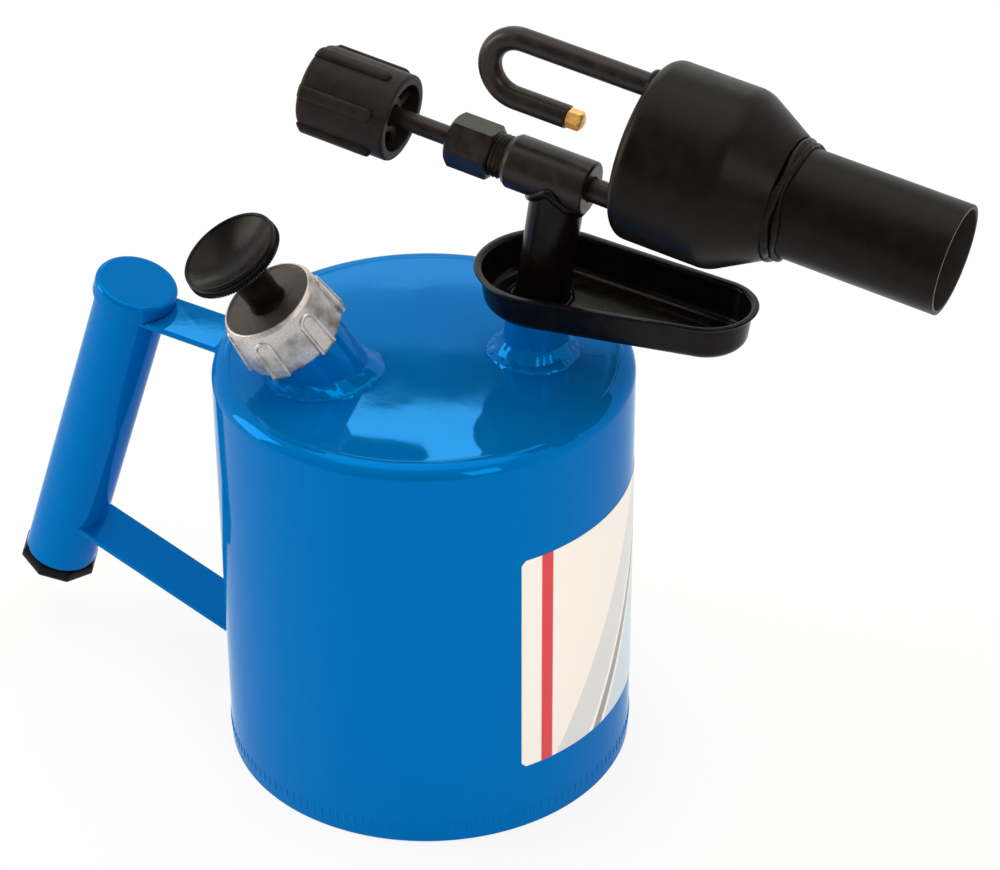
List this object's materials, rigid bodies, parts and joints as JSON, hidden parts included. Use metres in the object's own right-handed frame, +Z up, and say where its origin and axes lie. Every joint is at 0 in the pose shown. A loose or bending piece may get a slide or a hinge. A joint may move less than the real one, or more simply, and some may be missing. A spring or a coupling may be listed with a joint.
{
  "type": "liquid fuel blowlamp",
  "caption": "Liquid-fuel blowlamp: round pressure tank with tube handle, leaning hand pump in the filler neck, regulating valve, drip tray and tube vaporiser burner.",
  "frame": {"origin": "on the ground, under the middle of the whole lamp, 4 mm from the tank's axis", "axes": "+X the way the flame leaves, with the handle at -X; +Z up"},
  "size_m": [0.3046, 0.125, 0.2372],
  "materials": {
    "blue_paint": "gloss sky-blue enamel on pressed steel",
    "black_paint": "satin black heat-proof paint on steel",
    "black_oxide": "black oxide on turned steel",
    "bare_steel": "drawn bright steel",
    "cast_aluminium": "die-cast, tumbled",
    "brass": "turned bright",
    "black_plastic": "moulded, satin",
    "matt_plastic": "moulded, fine matt texture",
    "leather": "oiled cup leather",
    "fibre": "red fibre sealing washer",
    "graphite": "graphited gland packing"
  },
  "bodies": {
    "lamp": {"tank_shell": "blue_paint", "tank_base": "blue_paint", "filler_neck": "blue_paint", "filler_neck_weld": "blue_paint", "burner_boss": "blue_paint", "burner_boss_weld": "blue_paint", "handle_bracket": "blue_paint", "handle_tube": "blue_paint", "handle_cap": "blue_paint", "handle_plug": "black_plastic", "fuel_tube": "bare_steel", "fuel_strainer": "brass", "riser": "black_paint", "riser_weld": "black_paint", "drip_tray": "black_paint", "tray_weld": "black_paint", "valve_body": "black_paint", "gland_nut": "black_oxide", "gland_packing": "graphite", "feed_pipe": "black_paint", "feed_pipe_weld": "black_paint", "vaporiser_casing": "black_paint", "mixing_tube": "black_paint", "muzzle_tube": "black_paint", "muzzle_weld": "black_paint", "gas_pipe": "black_paint", "gas_pipe_weld": "black_paint", "jet": "brass"},
    "pump_unit": {"pump_barrel": "bare_steel", "pump_gasket": "fibre", "foot_valve_body": "brass", "foot_valve_spring": "bare_steel"},
    "pump_nut": {"pump_nut": "cast_aluminium"},
    "plunger": {"pump_rod": "bare_steel", "plunger_knob": "black_plastic", "cup_leather": "leather", "piston_disc": "bare_steel", "piston_nut": "bare_steel"},
    "foot_valve": {"foot_valve_poppet": "black_plastic"},
    "spindle": {"spindle": "black_oxide"},
    "valve_knob": {"valve_knob": "matt_plastic"}
  },
  "joints": [
    {"name": "cap_rise", "type": "slide", "parent": "lamp", "child": "pump_unit", "axis": [-0.3463, -0.3649, 0.8643], "range_m": [0, 0.0045]},
    {"name": "cap_turn", "type": "hinge", "parent": "pump_unit", "child": "pump_nut", "pos_m": [-0.02502, -0.0222, 0.13392], "axis": [-0.3463, -0.3649, 0.8643], "range_deg": [0, 1080]},
    {"name": "pump_stroke", "type": "slide", "parent": "pump_unit", "child": "plunger", "axis": [-0.3463, -0.3649, 0.8643], "range_m": [0, 0.07]},
    {"name": "foot_valve_lift", "type": "slide", "parent": "pump_unit", "child": "foot_valve", "axis": [0.3463, 0.3649, -0.8643], "range_m": [0, 0.0012], "stiffness_N_per_m": 150, "springref_m": -0.001, "deforming": ["foot_valve_spring"]},
    {"name": "valve_travel", "type": "slide", "parent": "lamp", "child": "spindle", "axis": [-0.99, 0, 0.1409], "range_m": [0, 0.0025]},
    {"name": "valve_turn", "type": "hinge", "parent": "spindle", "child": "valve_knob", "pos_m": [0.03267, 0.0154, 0.1931], "axis": [-0.99, 0, 0.1409], "range_deg": [0, 900]}
  ],
  "couplings": [
    {"joint": "cap_turn", "follows": "cap_rise", "rad_per_m": 4188.8},
    {"joint": "valve_turn", "follows": "valve_travel", "rad_per_m": 6283.2}
  ]
}
